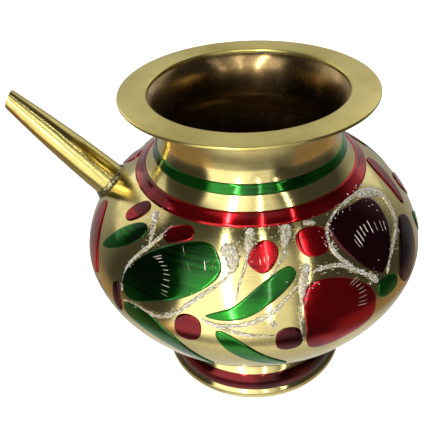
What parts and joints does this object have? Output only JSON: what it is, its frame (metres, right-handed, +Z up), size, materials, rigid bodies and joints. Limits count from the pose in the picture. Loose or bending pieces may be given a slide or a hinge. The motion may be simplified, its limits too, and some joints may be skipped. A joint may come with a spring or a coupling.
{
  "type": "spouted water pot",
  "caption": "Round-bellied brass water pot with a wide flat rim, a flared foot and a short straight spout, painted with enamel leaves and petals edged in silver glitter.",
  "frame": {"origin": "middle of the bounding box's underside, level with the surface that the foot rests on", "axes": "+Z up along the pot's axis; -Y is the decorated front; the spout points towards -X"},
  "size_m": [0.1306, 0.1126, 0.1024],
  "materials": {
    "brass_polished": "spun, polished brass with fine turning marks",
    "brass_satin": "faced, satin brass with concentric tool marks",
    "braze": "rough brazing brass, dark in its hollows",
    "enamel_red": "glossy translucent red lacquer enamel over bright brass",
    "enamel_green": "glossy translucent green lacquer enamel over bright brass",
    "enamel_maroon": "glossy, thick maroon lacquer enamel",
    "glitter_silver": "raised lines of clear glue full of silver glitter flakes"
  },
  "bodies": {
    "root": {"back_curved_leaf": "enamel_green", "back_edge_petal": "enamel_red", "back_front_leaf": "enamel_green", "back_glitter_heart_line": "glitter_silver", "back_glitter_left_drop": "glitter_silver", "back_glitter_left_line": "glitter_silver", "back_glitter_paisley_line": "glitter_silver", "back_glitter_right_drop": "glitter_silver", "back_glitter_vine": "glitter_silver", "back_heart_petal": "enamel_maroon", "back_left_dot": "enamel_red", "back_low_leaf": "enamel_green", "back_middle_drop": "enamel_red", "back_paisley": "enamel_green", "back_right_dot": "enamel_red", "back_side_leaf": "enamel_green", "back_small_leaf": "enamel_green", "back_small_petal": "enamel_red", "back_tall_petal": "enamel_maroon", "back_tulip": "enamel_red", "back_upper_drop": "enamel_red", "back_upper_petal": "enamel_red", "belly_seam_braze": "braze", "foot_braze": "braze", "foot_ring": "brass_polished", "front_curved_leaf": "enamel_green", "front_edge_petal": "enamel_red", "front_front_leaf": "enamel_green", "front_glitter_heart_line": "glitter_silver", "front_glitter_left_drop": "glitter_silver", "front_glitter_left_line": "glitter_silver", "front_glitter_paisley_line": "glitter_silver", "front_glitter_right_drop": "glitter_silver", "front_glitter_vine": "glitter_silver", "front_heart_petal": "enamel_maroon", "front_left_dot": "enamel_red", "front_low_leaf": "enamel_green", "front_middle_drop": "enamel_red", "front_paisley": "enamel_green", "front_right_dot": "enamel_red", "front_side_leaf": "enamel_green", "front_small_leaf": "enamel_green", "front_small_petal": "enamel_red", "front_tall_petal": "enamel_maroon", "front_tulip": "enamel_red", "front_upper_drop": "enamel_red", "front_upper_petal": "enamel_red", "green_neck_band": "enamel_green", "lower_bowl": "brass_polished", "neck_collar": "brass_polished", "neck_seam_braze": "braze", "red_foot_band": "enamel_red", "red_shoulder_band": "enamel_red", "rim_braze": "braze", "rim_flange": "brass_satin", "shoulder_shell": "brass_polished", "spout_root_braze": "braze", "spout_tube": "brass_polished"}
  },
  "joints": []
}
